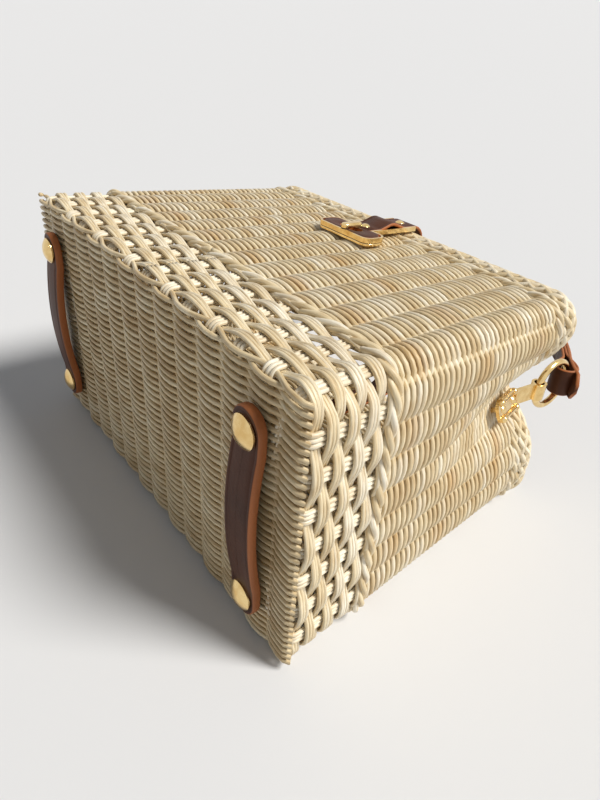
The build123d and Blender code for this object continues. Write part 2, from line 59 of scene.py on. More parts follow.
# Strands of cane. A sharpness under 1 makes a strand bend tightly between two stakes
WALL_MIDDLE = -3.1
SWING = 2.0
WEAVE_SHARPNESS, BAND_SHARPNESS = 0.75, 0.95
STRAND_THICK, STRAND_TALL, OVER_SWELL = 1.05, 1.09, 0.05
BAND_THICK, BAND_TALL = 0.85, 0.84
BOTTOM_THICK, BOTTOM_TALL = 1.0, 1.08
FINE_WOBBLE, BAND_WOBBLE = 0.35, 0.4
ROD_RADIUS, ROD_SPACING = 1.0, 2.05
ROD_INNER_START, ROD_INNER_MARGIN, SIDE_FACING = 3.0, 8.0, 0.8
FINE_START, FINE_PITCH, FINE_TURNS = 41.0, 3.24, 34
BAND_START, BAND_PITCH, BAND_ROWS = 6.6, 4.7, 8
BAND_SPREAD_OVER, BAND_SPREAD_CROSSING = 1.6, 1.2
TWIST_HEIGHT, RIM_TWIST_HEIGHT, BORDER_HEIGHT = 40.2, 151.6, 161.2
BOTTOM_MIDDLE, BOTTOM_ROW_PITCH, BOTTOM_HALF_DEPTH = 3.1, 1.72, 64.0
BOTTOM_WIDTH_SHARE, BOTTOM_SWING_LESS = 0.992, 0.15
LOOP_SHOULDER, LOOP_END, LOOP_LIFT = 3.6, 5.4, 0.85
LOOP_TURN_START, LOOP_TURN_WIDTH = 116, 9

# Looks of the strands: grain round, along and between them, each lowest tone with its spread, and
# honey patches as height, scatter and reach
GRAIN_ROUND, GRAIN_ALONG, GRAIN_BETWEEN = 9.0, 0.11, 0.37
TONES = {"fine": (0.48, 0.45), "band": (0.65, 0.35), "rope": (0.55, 0.45)}
# The bottom strands' lower tones are painted shade: the bottom panel lies in shade
TONES |= {"rods": (0.9, 0.1), "bottom": (0.25, 0.5)}
LOW_PATCH, HIGH_PATCH, RARE_PATCH = (53, 4, 5), (90, 5, 6), (120, 20, 4)
PATCH_POWER, RARE_SPOT, LEAST_SHARE, MOST_HONEY = 0.7, 0.6, 0.25, 0.75

# Leather straps
FOOT_SPACING, FOOT_LENGTH, FOOT_WIDTH = 194.0, 100.0, 16.5
FOOT_THICK, FOOT_BOW, FOOT_FLAT = 4.0, 3.0, 17.0
STUD_SPACING, FOOT_PRESS, FOOT_PRESS_REACH = 81.0, 0.35, 9
SOFT_GAP = 0.3
CLASP_HEIGHT, TEE_LENGTH, TEE_DEPTH, TEE_OVERLAP = 123.75, 37.7, 12.2, 1.2
SLOT_LENGTH, SLOT_WIDTH = 15.0, 5.6
STRAP_WIDTH, STRAP_THICK = 16.2, 1.6
STRAP_LINE, STRAP_LIFT = 3.45, 0.05
ARCH = ((138.0, 0.0), (147.0, 3.2), (156.0, 0.0))
STRAP_CROSSING, STRAP_TAIL, STRAP_INSIDE, STRAP_CORNER = 171.8, 129.0, 7.1, 8.0
HANDLE_WIDTH, HANDLE_LEAN = 16.0, math.radians(28.0)
LOOP_HEIGHT_OVER_RING, LOOP_RADIUS = 11.0, 5.8
HANDLE_THICK, HANDLE_OFFSET, HANDLE_ROUND = 2.0, 1.6, 5.0
FLAP_START, FLAP_STOP, FLAP_FLARE, FLAP_REACH, FLAP_POWER = -9.0, 30.0, 6.4, 22.0, 1.6
ARC_START, ARC_STEPS = 32.0, 40
LOOP_START, LOOP_CLOSING, LOOP_STEPS = 26.0, 17.0, 14
LOOP_THICK, LOOP_OUTER, LOOP_INNER, LOOP_NARROWING = 1.6, -0.2, -1.8, 0.6

# Directions of the lying bag, and the middle of its bottom from the frame's right ring joint
TAPER = math.atan2((BOTTOM_DEPTH - TOP_DEPTH) / 2, HEIGHT)
ACROSS = np.array((1.0, 0.0, 0.0))
UP = np.array((0.0, math.cos(TAPER), -math.sin(TAPER)))
FRONT = np.array((0.0, math.sin(TAPER), math.cos(TAPER)))
joints = {joint["name"]: joint for joint in frame["record"]["behaviour"]["joints"]}
ring_seat = np.array(joints["ring_right_turn"]["pos_m"]) / MM
BASE = ring_seat - RING_X * ACROSS - RING_HEIGHT * UP - RING_DEPTH * FRONT

FRONT_RUN = BOTTOM_WIDTH / 2 - CORNER_RADIUS
ARC_RUN = math.pi * CORNER_RADIUS / 2
SIDE_RUN = BOTTOM_DEPTH / 2 - CORNER_RADIUS
QUARTER = FRONT_RUN + ARC_RUN + SIDE_RUN


def place(x, height, depth):
    """Points of the lying bag from their own width, height and depth."""
    x, height, depth = np.broadcast_arrays(x, height, depth)
    return BASE + x[..., None] * ACROSS + height[..., None] * UP + depth[..., None] * FRONT


def half_width(height):
    return (BOTTOM_WIDTH + (TOP_WIDTH - BOTTOM_WIDTH) * height / HEIGHT) / 2


def half_depth(height):
    return (BOTTOM_DEPTH + (TOP_DEPTH - BOTTOM_DEPTH) * height / HEIGHT) / 2


def pinch(height, depth):
    """How far the side wall is pushed in at this height and depth."""
    rise = np.maximum(0.0, (height - PINCH_START) / (HEIGHT - PINCH_START)) ** PINCH_POWER
    slope = (np.abs(depth - PINCH_CENTRE) - PINCH_FLOOR_HALF) / (PINCH_HALF_WIDTH - PINCH_FLOOR_HALF)
    return PINCH_DEPTH * rise * (1 - np.clip(slope, 0.0, 1.0)) ** FLANK_POWER


def wall(run, height, offset):
    """Points and outward directions on the wall. The run goes all round from the front's middle."""
    run, height, offset = np.broadcast_arrays(run, height, offset)
    turn = np.mod(run, 4 * QUARTER)
    index = np.floor(turn / QUARTER).astype(int) % 4
    along = np.where(index % 2 == 0, turn - index * QUARTER, (index + 1) * QUARTER - turn)
    side_x = np.where(index < 2, 1.0, -1.0)
    side_d = np.where((index == 0) | (index == 3), 1.0, -1.0)
    flat_x = half_width(height) - CORNER_RADIUS
    flat_d = half_depth(height) - CORNER_RADIUS
    angle = np.clip((along - FRONT_RUN) / CORNER_RADIUS, 0.0, math.pi / 2)
    reach = CORNER_RADIUS + offset
    x = np.minimum(along / FRONT_RUN, 1.0) * flat_x + reach * np.sin(angle)
    depth = np.clip((QUARTER - along) / SIDE_RUN, 0.0, 1.0) * flat_d + reach * np.cos(angle)
    depth = depth * side_d
    slope = pinch(height, depth + 0.5) - pinch(height, depth - 0.5)
    points = place(side_x * (x - pinch(height, depth)), height, depth)
    out = (side_x * np.sin(angle))[..., None] * ACROSS
    out = out + (side_d * np.cos(angle) + np.sin(angle) * slope)[..., None] * FRONT
    return points, out / np.linalg.norm(out, axis=-1, keepdims=True)


def stake_runs():
    """Runs of all the stakes round the wall, from the first one right of the front's middle."""
    fronts = [FRONT_PITCH * (i + 0.5) for i in range(FRONT_STAKES_EACH_HALF)]
    sides = [QUARTER - SIDE_PITCH * i for i in range(SIDE_STAKES_BESIDE_MIDDLE, 0, -1)]
    quarter = fronts + sides
    half = quarter + [QUARTER] + [2 * QUARTER - run for run in reversed(quarter)]
    return np.array(half + [2 * QUARTER + run for run in half])


STAKES = stake_runs()
STAKE_COUNT = len(STAKES)


def run_at(stake):
    """Run along the wall at a position counted in stakes, over as many turns as it takes."""
    turns = np.floor(stake / STAKE_COUNT)
    knots = np.append(STAKES, STAKES[0] + 4 * QUARTER)
    within = np.interp(stake - turns * STAKE_COUNT, np.arange(STAKE_COUNT + 1), knots)
    return turns * 4 * QUARTER + within


def unit(vectors):
    """Vectors of length one."""
    return vectors / np.maximum(np.linalg.norm(vectors, axis=-1, keepdims=True), 1e-9)


class Strands:
    """Tubes of one piece, gathered into one mesh with tone, honey and grain at each point."""

    def __init__(self, sides):
        self.sides = sides
        self.points, self.faces, self.tone, self.honey, self.grain = [], [], [], [], []
        self.count = 0

    def add(self, path, out, thick, tall, tone=0.5, honey=0.0):
        """One strand along a path, flattened: thick along the outward direction, tall across it."""
        along = unit(np.gradient(path, axis=0))
        across = unit(np.cross(along, out))
        out = np.cross(across, along)
        share = np.arange(self.sides) / self.sides
        turn = math.pi + 2 * math.pi * share
        thick = np.broadcast_to(thick, len(path))[:, None, None]
        tall = np.broadcast_to(tall, len(path))[:, None, None]
        outward = out[:, None] * np.cos(turn)[:, None] * thick
        upward = across[:, None] * np.sin(turn)[:, None] * tall
        self.points.append((path[:, None] + (outward + upward)).reshape(-1, 3))
        low = np.arange(len(path) - 1)[:, None] * self.sides
        here = np.arange(self.sides)[None, :]
        beyond = (here + 1) % self.sides
        high = low + self.sides
        quads = np.stack([low + here, low + beyond, high + beyond, high + here], -1)
        self.faces += (quads.reshape(-1, 4) + self.count).tolist()
        last = self.count + (len(path) - 1) * self.sides
        self.faces.append(list(range(self.count + self.sides - 1, self.count - 1, -1)))
        self.faces.append(list(range(last, last + self.sides)))
        self.tone.append(np.repeat(np.broadcast_to(tone, len(path)), self.sides))
        self.honey.append(np.repeat(np.broadcast_to(honey, len(path)), self.sides))
        steps = np.linalg.norm(np.diff(path, axis=0), axis=1)
        length = np.concatenate([[0.0], np.cumsum(steps)])
        grain = np.zeros((len(path), self.sides, 3))
        grain[..., 0] = share * GRAIN_ROUND
        grain[..., 1] = length[:, None] * GRAIN_ALONG
        grain[..., 2] = self.count * GRAIN_BETWEEN
        self.grain.append(grain.reshape(-1, 3))
        self.count += len(path) * self.sides

    def finish(self, name, material):
        """The piece, riding on the bag in place of the plain wall."""
        piece = make_piece(name, np.concatenate(self.points), self.faces, material, "bag")
        for key, values in (("tone", self.tone), ("honey", self.honey)):
            attribute = piece.data.attributes.new(key, "FLOAT", "POINT")
            attribute.data.foreach_set("value", np.concatenate(values).astype(np.float32))
        attribute = piece.data.attributes.new("grain", "FLOAT_VECTOR", "POINT")
        attribute.data.foreach_set("vector", np.concatenate(self.grain).astype(np.float32).ravel())
        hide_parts("basket")
        return piece


def make_piece(name, points, faces, material, body):
    """A smooth mesh piece in metres that rides on a body and takes a material slot of the record."""
    mesh = bpy.data.meshes.new(name)
    mesh.from_pydata((np.asarray(points) * MM).tolist(), [], faces)
    mesh.polygons.foreach_set("use_smooth", [True] * len(mesh.polygons))
    mesh.materials.append(material)
    piece = bpy.data.objects.new(name, mesh)
    bpy.context.scene.collection.objects.link(piece)
    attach(piece, body)
    return piece


def random_at(*numbers):
    """Repeatable values from 0 to 1 for whole numbers."""
    mixed = sum(n * k for n, k in zip(numbers, (12.9898, 78.233, 37.719)))
    return np.mod(np.abs(np.sin(mixed)) * 43758.5453, 1.0)


def tone_of(kind, *numbers):
    """Tone of a strand of this kind, repeatable for its numbers."""
    lowest, spread = TONES[kind]
    return lowest + spread * random_at(*numbers)


def honey_patch(height, spot, patch):
    """How honey-coloured a strand is at a height, for a patch moved up by the column's spot."""
    middle, scatter, reach = patch
    return np.clip(1 - np.abs(height - middle - scatter * spot) / reach, 0.0, 1.0) ** PATCH_POWER


# Materials
def new_material(name, base, roughness, metallic=0.0):
    material = bpy.data.materials.new(name)
    material.use_nodes = True
    nodes, links = material.node_tree.nodes, material.node_tree.links
    shader = nodes["Principled BSDF"]
    shader.inputs["Base Color"].default_value = (*base, 1)
    shader.inputs["Roughness"].default_value = roughness
    shader.inputs["Metallic"].default_value = metallic
    coordinates = nodes.new("ShaderNodeTexCoord")
    return material, nodes, links, shader, coordinates


def add_noise(nodes, links, coordinates, scale, detail=3.0):
    noise = nodes.new("ShaderNodeTexNoise")
    noise.inputs["Scale"].default_value = scale
    noise.inputs["Detail"].default_value = detail
    links.new(coordinates.outputs["Object"], noise.inputs["Vector"])
    return noise


def add_ramp(nodes, links, value, stops):
    ramp = nodes.new("ShaderNodeValToRGB")
    while len(ramp.color_ramp.elements) < len(stops):
        ramp.color_ramp.elements.new(0.5)
    for element, (position, colour) in zip(ramp.color_ramp.elements, stops):
        element.position = position
        element.color = (*colour, 1)
    links.new(value, ramp.inputs["Fac"])
    return ramp


def add_mix(nodes, links, factor, first, second, blend="MIX"):
    """Mix of two colours by a factor; each is a socket, or a plain value."""
    mix = nodes.new("ShaderNodeMix")
    mix.data_type = "RGBA"
    mix.blend_type = blend
    for socket, value in ((mix.inputs[0], factor), (mix.inputs[6], first), (mix.inputs[7], second)):
        if isinstance(value, bpy.types.NodeSocket):
            links.new(value, socket)
        else:
            socket.default_value = value
    return mix.outputs[2]


def add_bump(nodes, links, shader, height, strength, distance):
    bump = nodes.new("ShaderNodeBump")
    bump.inputs["Strength"].default_value = strength
    bump.inputs["Distance"].default_value = distance
    links.new(height, bump.inputs["Height"])
    links.new(bump.outputs["Normal"], shader.inputs["Normal"])


def cane_material():
    """Peeled cane: each strand has its own tone, with honey stretches and fine fibres."""
    material, nodes, links, shader, coordinates = new_material("cane", (0.7, 0.55, 0.35), 0.42)
    tone = nodes.new("ShaderNodeAttribute")
    tone.attribute_name = "tone"
    honey = nodes.new("ShaderNodeAttribute")
    honey.attribute_name = "honey"
    stops = [(0.0, (0.44, 0.30, 0.14)), (0.35, (0.68, 0.54, 0.32))]
    stops += [(0.7, (0.82, 0.71, 0.49)), (1.0, (0.93, 0.88, 0.75))]
    ramp = add_ramp(nodes, links, tone.outputs["Fac"], stops)
    cloud = add_noise(nodes, links, coordinates, 90.0, 4.0)
    cloud_stops = [(0.3, (0.80, 0.72, 0.60)), (0.65, (1.0, 1.0, 1.0))]
    cloud_ramp = add_ramp(nodes, links, cloud.outputs["Fac"], cloud_stops)
    mottled = add_mix(nodes, links, 0.8, ramp.outputs["Color"], cloud_ramp.outputs["Color"], "MULTIPLY")
    grain = nodes.new("ShaderNodeAttribute")
    grain.attribute_name = "grain"
    fibre = add_noise(nodes, links, coordinates, 1.0, 3.0)
    links.new(grain.outputs["Vector"], fibre.inputs["Vector"])
    fibre_stops = [(0.32, (0.72, 0.60, 0.42)), (0.52, (1.0, 1.0, 1.0))]
    fibre_ramp = add_ramp(nodes, links, fibre.outputs["Fac"], fibre_stops)
    streaked = add_mix(nodes, links, 0.75, mottled, fibre_ramp.outputs["Color"], "MULTIPLY")
    coloured = add_mix(nodes, links, honey.outputs["Fac"], streaked, (0.58, 0.35, 0.12, 1))
    links.new(coloured, shader.inputs["Base Color"])
    add_bump(nodes, links, shader, fibre.outputs["Fac"], 0.5, 0.0004)
    return material


def leather_material(name, face, edge):
    """Smooth leather with a fine grain, and its own colour on the cut edges."""
    material, nodes, links, shader, coordinates = new_material(name, face, 0.5)
    shader.inputs["Specular IOR Level"].default_value = 0.22
    rim = nodes.new("ShaderNodeAttribute")
    rim.attribute_name = "edge"
    cloud = add_noise(nodes, links, coordinates, 60.0, 4.0)
    dark = tuple(c * 0.6 for c in face)
    shades = add_ramp(nodes, links, cloud.outputs["Fac"], [(0.3, dark), (0.7, face)])
    coloured = add_mix(nodes, links, rim.outputs["Fac"], shades.outputs["Color"], (*edge, 1))
    links.new(coloured, shader.inputs["Base Color"])
    grain = nodes.new("ShaderNodeTexVoronoi")
    grain.inputs["Scale"].default_value = 900.0
    links.new(coordinates.outputs["Object"], grain.inputs["Vector"])
    add_bump(nodes, links, shader, grain.outputs["Distance"], 0.25, 0.0002)
    return material


def gold_material():
    """Polished gold plating with faint wipe marks."""
    material, nodes, links, shader, coordinates = new_material("gold", (0.86, 0.62, 0.27), 0.16, 1.0)
    cloud = add_noise(nodes, links, coordinates, 250.0, 4.0)
    stops = [(0.35, (0.74, 0.50, 0.20)), (0.65, (0.90, 0.68, 0.33))]
    shades = add_ramp(nodes, links, cloud.outputs["Fac"], stops)
    links.new(shades.outputs["Color"], shader.inputs["Base Color"])
    rough = nodes.new("ShaderNodeMapRange")
    rough.inputs["To Min"].default_value = 0.08
    rough.inputs["To Max"].default_value = 0.28
    links.new(cloud.outputs["Fac"], rough.inputs["Value"])
    links.new(rough.outputs["Result"], shader.inputs["Roughness"])
    marks = add_noise(nodes, links, coordinates, 700.0, 2.0)
    add_bump(nodes, links, shader, marks.outputs["Fac"], 0.08, 0.0002)
    return material


def floor_material():
    """Plain pale matt floor."""
    return new_material("floor", (0.76, 0.77, 0.79), 0.85)[0]


# Camera, floor and light
def make_camera():
    data = bpy.data.cameras.new("camera")
    data.sensor_fit = "HORIZONTAL"
    data.sensor_width = 36.0
    data.lens = 36.0
    data.clip_start = 0.01
    data.clip_end = 200.0
    camera = bpy.data.objects.new("camera", data)
    bpy.context.scene.collection.objects.link(camera)
    camera.location = (0.2312, -0.2079, 0.2308)
    camera.rotation_euler = [math.radians(angle) for angle in (54.9233, -1.0302, 53.0890)]
    bpy.context.scene.camera = camera


def make_floor():
    mesh = bpy.data.meshes.new("floor")
    corners = [(-FLOOR_HALF, -FLOOR_HALF, 0), (FLOOR_HALF, -FLOOR_HALF, 0)]
    corners += [(FLOOR_HALF, FLOOR_HALF, 0), (-FLOOR_HALF, FLOOR_HALF, 0)]
    mesh.from_pydata(corners, [], [(0, 1, 2, 3)])
    mesh.materials.append(floor_material())
    floor = bpy.data.objects.new("floor", mesh)
    bpy.context.scene.collection.objects.link(floor)


def make_sun(name, energy, rotation, softness, colour):
    data = bpy.data.lights.new(name, "SUN")
    data.energy = energy
    data.color = colour
    data.angle = softness
    sun = bpy.data.objects.new(name, data)
    sun.rotation_euler = [math.radians(angle) for angle in rotation]
    bpy.context.scene.collection.objects.link(sun)


def make_world():
    """Soft sky light, which the camera and the metal see as a plain pale background."""
    world = bpy.data.worlds.new("world")
    bpy.context.scene.world = world
    world.use_nodes = True
    nodes, links = world.node_tree.nodes, world.node_tree.links
    sky = nodes["Background"]
    sky.inputs["Color"].default_value = (0.88, 0.90, 0.93, 1)
    sky.inputs["Strength"].default_value = 0.2
    backdrop = nodes.new("ShaderNodeBackground")
    backdrop.inputs["Color"].default_value = (0.80, 0.80, 0.81, 1)
    rays = nodes.new("ShaderNodeLightPath")
    seen = nodes.new("ShaderNodeMath")
    seen.operation = "ADD"
    seen.use_clamp = True
    links.new(rays.outputs["Is Camera Ray"], seen.inputs[0])
    links.new(rays.outputs["Is Glossy Ray"], seen.inputs[1])
    mix = nodes.new("ShaderNodeMixShader")
    links.new(seen.outputs["Value"], mix.inputs["Fac"])
    links.new(sky.outputs["Background"], mix.inputs[1])
    links.new(backdrop.outputs["Background"], mix.inputs[2])
    links.new(mix.outputs["Shader"], nodes["World Output"].inputs["Surface"])


# Woven wall
def fine_weave(name, material, half_turn):
    """One of two spirals over and under single stakes; the other passes on the other side of each."""
    weave = Strands(8)
    stake = np.arange(0, STAKE_COUNT * FINE_TURNS + 0.001, 1 / 6)
    height = FINE_START + FINE_PITCH * (stake / STAKE_COUNT + half_turn / 2)
    wave = np.cos(math.pi * (stake + half_turn))
    over = np.sign(wave) * np.abs(wave) ** WEAVE_SHARPNESS
    nearest = np.round(stake)
    turn_number = np.floor(stake / STAKE_COUNT)
    wobble = (random_at(nearest, turn_number, half_turn) - 0.5) * FINE_WOBBLE
    points, out = wall(run_at(stake), height + wobble * np.abs(wave), WALL_MIDDLE + SWING * over)
    tall = STRAND_TALL + OVER_SWELL * over
    tone = tone_of("fine", nearest, turn_number, half_turn + 2)
    column = np.mod(nearest, STAKE_COUNT)
    spot = random_at(column, 3)
    honey = honey_patch(height, spot, LOW_PATCH) * (np.mod(column, 2) == 0)
    honey = honey + honey_patch(height, spot, HIGH_PATCH) * (np.mod(column, 2) == 1)
    honey = honey + honey_patch(height, spot, RARE_PATCH) * (spot > RARE_SPOT)
    honey = honey * (LEAST_SHARE + 0.5 * random_at(nearest, turn_number, 5))
    weave.add(points, out, STRAND_THICK, tall, tone, np.clip(honey, 0, MOST_HONEY))
    return weave.finish(name, material)


def open_band(material):
    """Rows of three strands over one stake and under the next, staggered from row to row."""
    band = Strands(8)
    stake = np.arange(0, STAKE_COUNT + 0.001, 1 / 8)
    column = np.mod(np.round(stake), STAKE_COUNT)
    for row in range(BAND_ROWS):
        wave = np.cos(math.pi * (stake + row))
        over = np.sign(wave) * np.abs(wave) ** BAND_SHARPNESS
        spread = BAND_SPREAD_CROSSING + (BAND_SPREAD_OVER - BAND_SPREAD_CROSSING) * np.abs(wave)
        for strand in (-1, 0, 1):
            wobble = (random_at(column, row, strand + 7) - 0.5) * BAND_WOBBLE * np.abs(wave)
            height = BAND_START + BAND_PITCH * row + strand * spread + wobble
            points, out = wall(run_at(stake), height, WALL_MIDDLE + SWING * over)
            band.add(points, out, BAND_THICK, BAND_TALL, tone_of("band", row, strand + 11))
    return band.finish("open_band", material)


def add_rope(strands, height, offset, core, radius, count, turn_length, turn_way=1):
    """Twisted row of strands lying round a core, all round the wall. The core goes out and up."""
    run = np.arange(0, 4 * QUARTER + 0.1, 1.5)
    turns = round(4 * QUARTER / turn_length)
    for strand in range(count):
        angle = turn_way * 2 * math.pi * (turns * run / (4 * QUARTER) + strand / count)
        outward, upward = core[0] * np.cos(angle), core[1] * np.sin(angle)
        points, out = wall(run, height + upward, offset + outward)
        strands.add(points, out, radius, radius, tone_of("rope", strand, height))


def ropes(material):
    """Twisted row over the band, twisted row under the rim, and the thick border."""
    rope = Strands(8)
    add_rope(rope, TWIST_HEIGHT, -1.6, core=(1.3, 1.6), radius=1.35, count=3, turn_length=27.0)
    add_rope(rope, RIM_TWIST_HEIGHT, -1.6, core=(1.2, 1.3), radius=1.2, count=3, turn_length=22.0)
    add_rope(rope, BORDER_HEIGHT, -2.6, core=(2.3, 4.0), radius=1.5, count=5, turn_length=40.0)
    add_rope(rope, BORDER_HEIGHT, -2.2, (2.1, 3.7), 1.35, count=4, turn_length=46.0, turn_way=-1)
    return rope.finish("ropes", material)


def stake_rods(material):
    """Upright stakes of three rods. Those of the front and back run on across the bottom."""
    rods = Strands(6)
    wall_heights = np.linspace(BORDER_HEIGHT, EDGE_RADIUS, 20)
    bend = np.linspace(0, math.pi / 2, 6)[1:]
    radius = EDGE_RADIUS - BOTTOM_MIDDLE
    for number, run in enumerate(STAKES):
        for rod in (-1, 0, 1):
            points, out = wall(run + rod * ROD_SPACING, wall_heights, WALL_MIDDLE)
            foot_out = out[-1]
            corner = points[-1] - radius * foot_out
            ways = np.array([foot_out * math.cos(a) - UP * math.sin(a) for a in bend])
            turned = corner + radius * ways
            on_side = abs(foot_out @ ACROSS) >= SIDE_FACING
            reach = ROD_INNER_MARGIN if on_side else BOTTOM_DEPTH / 2 - ROD_INNER_MARGIN
            inner = np.linspace(ROD_INNER_START, reach, 8)[:, None]
            path = np.concatenate([points, turned, turned[-1] - inner * foot_out])
            outs = np.concatenate([out, ways, np.tile(-UP, (len(inner), 1))])
            rods.add(path, outs, ROD_RADIUS, ROD_RADIUS, tone_of("rods", number, rod + 2))
    return rods.finish("stake_rods", material)


def bottom_weave(material):
    """One strand to and fro across the bottom, over and under its stakes and round the outer rods."""
    weave = Strands(8)
    stakes = 2 * FRONT_STAKES_EACH_HALF
    pitch = FRONT_PITCH * BOTTOM_WIDTH_SHARE
    rows = int(2 * BOTTOM_HALF_DEPTH / BOTTOM_ROW_PITCH)
    position = np.arange(0, stakes - 1 + 0.001, 0.25)
    path, tones = [], []
    for row in range(rows):
        depth = -BOTTOM_HALF_DEPTH + BOTTOM_ROW_PITCH * (row + 0.5)
        way = 1 if row % 2 == 0 else -1
        wave = np.cos(math.pi * (position + row))
        over = np.sign(wave) * np.abs(wave) ** WEAVE_SHARPNESS
        x = (position - (stakes - 1) / 2) * pitch
        height = BOTTOM_MIDDLE - (SWING - BOTTOM_SWING_LESS) * over
        points = np.stack([x, height, np.full(len(x), depth)], -1)[::way]
        end = points[-1]
        side = np.sign(end[0])
        lift = (BOTTOM_MIDDLE - end[1]) * LOOP_LIFT
        shoulder = end[0] + side * LOOP_SHOULDER
        turn = [(shoulder, BOTTOM_MIDDLE - lift, depth + 0.25)]
        turn += [(end[0] + side * LOOP_END, BOTTOM_MIDDLE, depth + BOTTOM_ROW_PITCH / 2)]
        turn += [(shoulder, BOTTOM_MIDDLE + lift, depth + BOTTOM_ROW_PITCH - 0.2)]
        path += [points, np.array(turn)]
        # Lower tones on the bottom strands are painted shade of the shaded bottom panel
        tones += [tone_of("bottom", np.round(position)[::way], row), np.full(len(turn), 0.5)]
    path = np.concatenate(path)
    beyond = np.clip(np.abs(path[:, 0]) - LOOP_TURN_START, 0, LOOP_TURN_WIDTH) / LOOP_TURN_WIDTH
    out = unit(-UP + (beyond * np.sign(path[:, 0]))[:, None] * ACROSS)
    points = place(path[:, 0], path[:, 1], path[:, 2])
    weave.add(points, out, BOTTOM_THICK, BOTTOM_TALL, np.concatenate(tones))
    return weave.finish("bottom_weave", material)


# Leather
def finish_leather(name, points, faces, edge, material, body, node):
    """A leather piece with its cut edges marked, in place of a plain one."""
    piece = make_piece(name, points, faces, material, body)
    attribute = piece.data.attributes.new("edge", "FLOAT", "POINT")
    attribute.data.foreach_set("value", np.asarray(edge, dtype=np.float32))
    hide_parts(node)
    return piece


def ring_faces(rings, count):
    """Four-sided faces between rings of points that follow each other."""
    faces = []
    for row in range(rings - 1):
        for k in range(count):
            nearer, further = row * count + k, row * count + (k + 1) % count
            faces.append([nearer, further, further + count, nearer + count])
    return faces


def strap_section(width, thick):
    """Points across a strap: across, outward and share of edge colour, with pressed edge lines."""
    w, t = width / 2, thick / 2
    half = [(0.0, t, 0.0), (w - 2.3, t, 0.0), (w - 1.9, t - 0.25, 0.0), (w - 1.5, t, 0.0)]
    half += [(w - 0.6, t, 0.0), (w - 0.4, t - 0.08, 1.0), (w, t - 0.45, 1.0)]
    half += [(w, -t + 0.45, 1.0), (w - 0.4, -t + 0.08, 1.0), (w - 0.6, -t, 0.0), (0.0, -t, 0.0)]
    return half + [(-u, v, edge) for u, v, edge in half[-2:0:-1]]


def ribbon(name, path, width_way, width, thick, material, body, node, round_end=0.0):
    """Strap along a path. Its outward side is to the left of the path, seen against the width's way."""
    along = unit(np.gradient(path, axis=0))
    out = unit(np.cross(along, width_way))
    section = strap_section(width, thick)
    steps = np.concatenate([[0.0], np.cumsum(np.linalg.norm(np.diff(path, axis=0), axis=1))])
    points, edges = [], []
    for at, way, middle in zip(steps, out, path):
        inset = 0.0
        for end in (at, steps[-1] - at):
            if end < round_end:
                inset = round_end - math.sqrt(round_end**2 - (round_end - end) ** 2)
        for u, v, edge in section:
            reach = max(abs(u) - inset, 0.0) * (1 if u > 0 else -1)
            points.append(middle + reach * width_way + v * way)
            edges.append(edge)
    count = len(section)
    faces = [list(range(count - 1, -1, -1))] + ring_faces(len(path), count)
    faces.append([(len(path) - 1) * count + k for k in range(count)])
    return finish_leather(name, points, faces, edges, material, body, node)


def slot_loop(length, width, inset=0.0, count=96):
    """Points round a slot, equally spaced on its edge and moved in by an inset."""
    radius = width / 2
    inner = radius - inset
    straight = length - width
    half_way = straight + math.pi * radius
    loop = []
    for way in np.arange(count) / count * 2 * half_way:
        along = way if way < half_way else way - half_way
        angle = max(along - straight, 0.0) / radius - math.pi / 2
        x = min(along, straight) - straight / 2 + inner * math.cos(angle)
        y = inner * math.sin(angle)
        loop.append((x, y) if way < half_way else (-x, -y))
    return np.array(loop)


def foot_strap(side, side_name, material):
    """Bowed strap under the bottom, pressed down at its two studs. Rings are inset, level and edge."""
    t = FOOT_THICK
    rings = [(8.2, 0.0, 0.0), (0.6, 0.0, 0.0), (0.35, 0.1, 1.0), (0.0, 0.6, 1.0), (0.0, t - 0.6, 1.0)]
    rings += [(0.35, t - 0.1, 1.0), (0.6, t, 0.0), (1.6, t, 0.0), (2.0, t - 0.35, 0.0)]
    rings += [(2.4, t, 0.0), (5.0, t + 0.1, 0.0), (8.2, t + 0.15, 0.0)]
    points, edges = [], []
    bend = FOOT_LENGTH / 2 - FOOT_FLAT
    for inset, level, edge in rings:
        loop = slot_loop(FOOT_LENGTH, FOOT_WIDTH, inset)
        bow = FOOT_BOW * (1 - np.clip(np.abs(loop[:, 0]) / bend, 0, 1) ** 2)
        near_stud = np.abs(np.abs(loop[:, 0]) - STUD_SPACING / 2)
        press = FOOT_PRESS * np.clip(1 - near_stud / FOOT_PRESS_REACH, 0, 1) * (level > t / 2)
        x = side * FOOT_SPACING / 2 + loop[:, 1]
        points.append(place(x, -(SOFT_GAP + level + bow - press), loop[:, 0]))
        edges += [edge] * len(loop)
    faces = [face[:1] + face[:0:-1] for face in ring_faces(len(rings), len(points[0]))]
    points = np.concatenate(points)
    name, node = f"leather_foot_{side_name}", f"foot_strap_{side_name}"
    return finish_leather(name, points, faces, edges, material, "bag", node)


def rounded(corners, radius, steps=7):
    """Path through corners rounded off to a radius."""
    corners = [np.array(corner, dtype=float) for corner in corners]
    path = [corners[0]]
    for before, corner, after in zip(corners, corners[1:], corners[2:]):
        to_before, to_after = unit(before - corner), unit(after - corner)
        half = math.acos(np.clip(to_before @ to_after, -1, 1)) / 2
        reach = radius / math.tan(half)
        start, stop = corner + reach * to_before, corner + reach * to_after
        middle = corner + unit(to_before + to_after) * radius / math.sin(half)
        for share in np.linspace(0, 1, steps):
            between = start + (stop - start) * share
            path.append(middle + unit(between - middle) * radius)
    return np.array(path + [corners[-1]])


def front_point(panel_height, offset):
    """Depth and height of a point over the front panel."""
    depth = BOTTOM_DEPTH / 2 - panel_height * math.sin(TAPER) + offset * math.cos(TAPER)
    return depth, panel_height * math.cos(TAPER) + offset * math.sin(TAPER)


